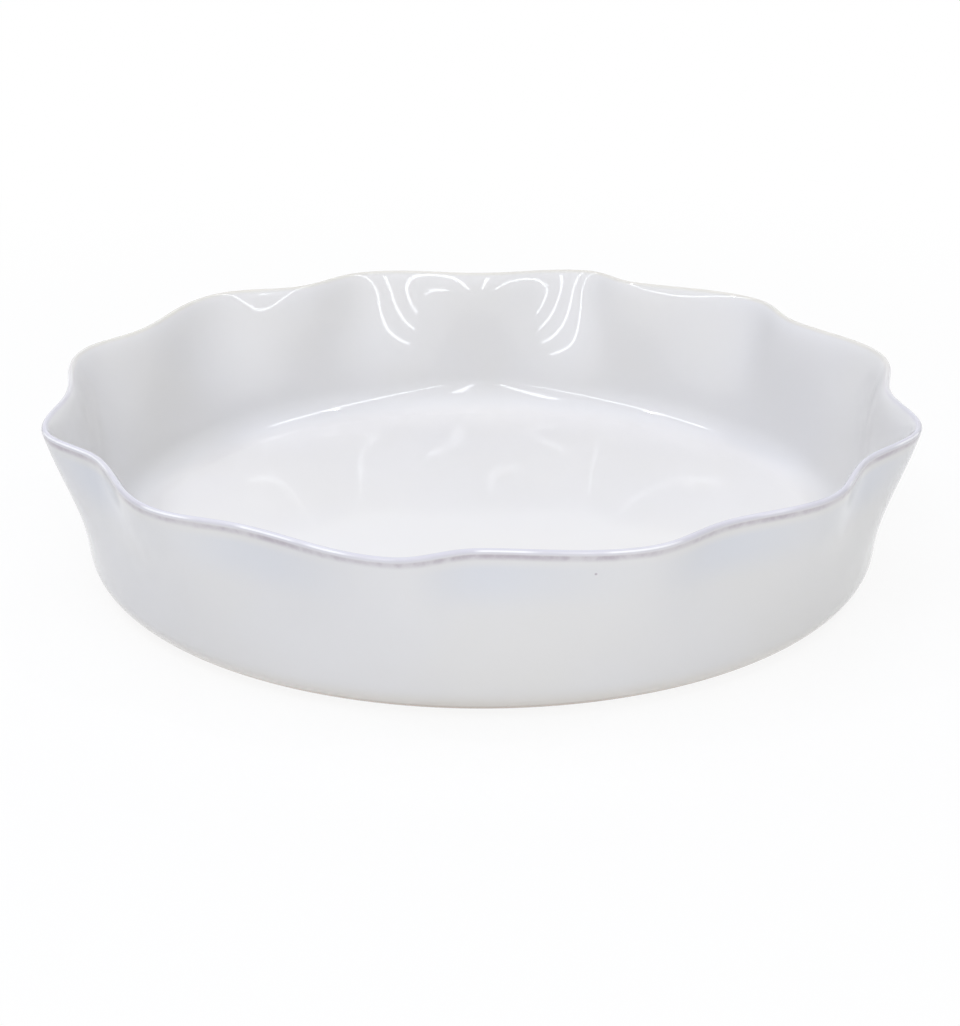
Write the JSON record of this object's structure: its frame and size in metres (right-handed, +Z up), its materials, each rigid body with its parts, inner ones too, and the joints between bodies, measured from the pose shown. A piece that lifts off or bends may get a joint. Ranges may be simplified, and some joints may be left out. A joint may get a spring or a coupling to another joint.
{
  "type": "pie dish",
  "caption": "Deep round pie dish of white glazed stoneware, with a hand-fluted wall, a rounded wavy lip and a bare foot ring.",
  "frame": {"origin": "on the dish's axis, at the table that the foot ring stands on", "axes": "+Z up, out of the open top; -Y is the side that faces the viewer in the picture, and +X is to the viewer's right"},
  "size_m": [0.2657, 0.2695, 0.0533],
  "materials": {
    "bare_clay": "matte",
    "white_glaze": "gloss"
  },
  "bodies": {
    "root": {"stoneware_body": "bare_clay", "glaze_coat": "white_glaze", "underside_glaze": "white_glaze"}
  },
  "joints": []
}
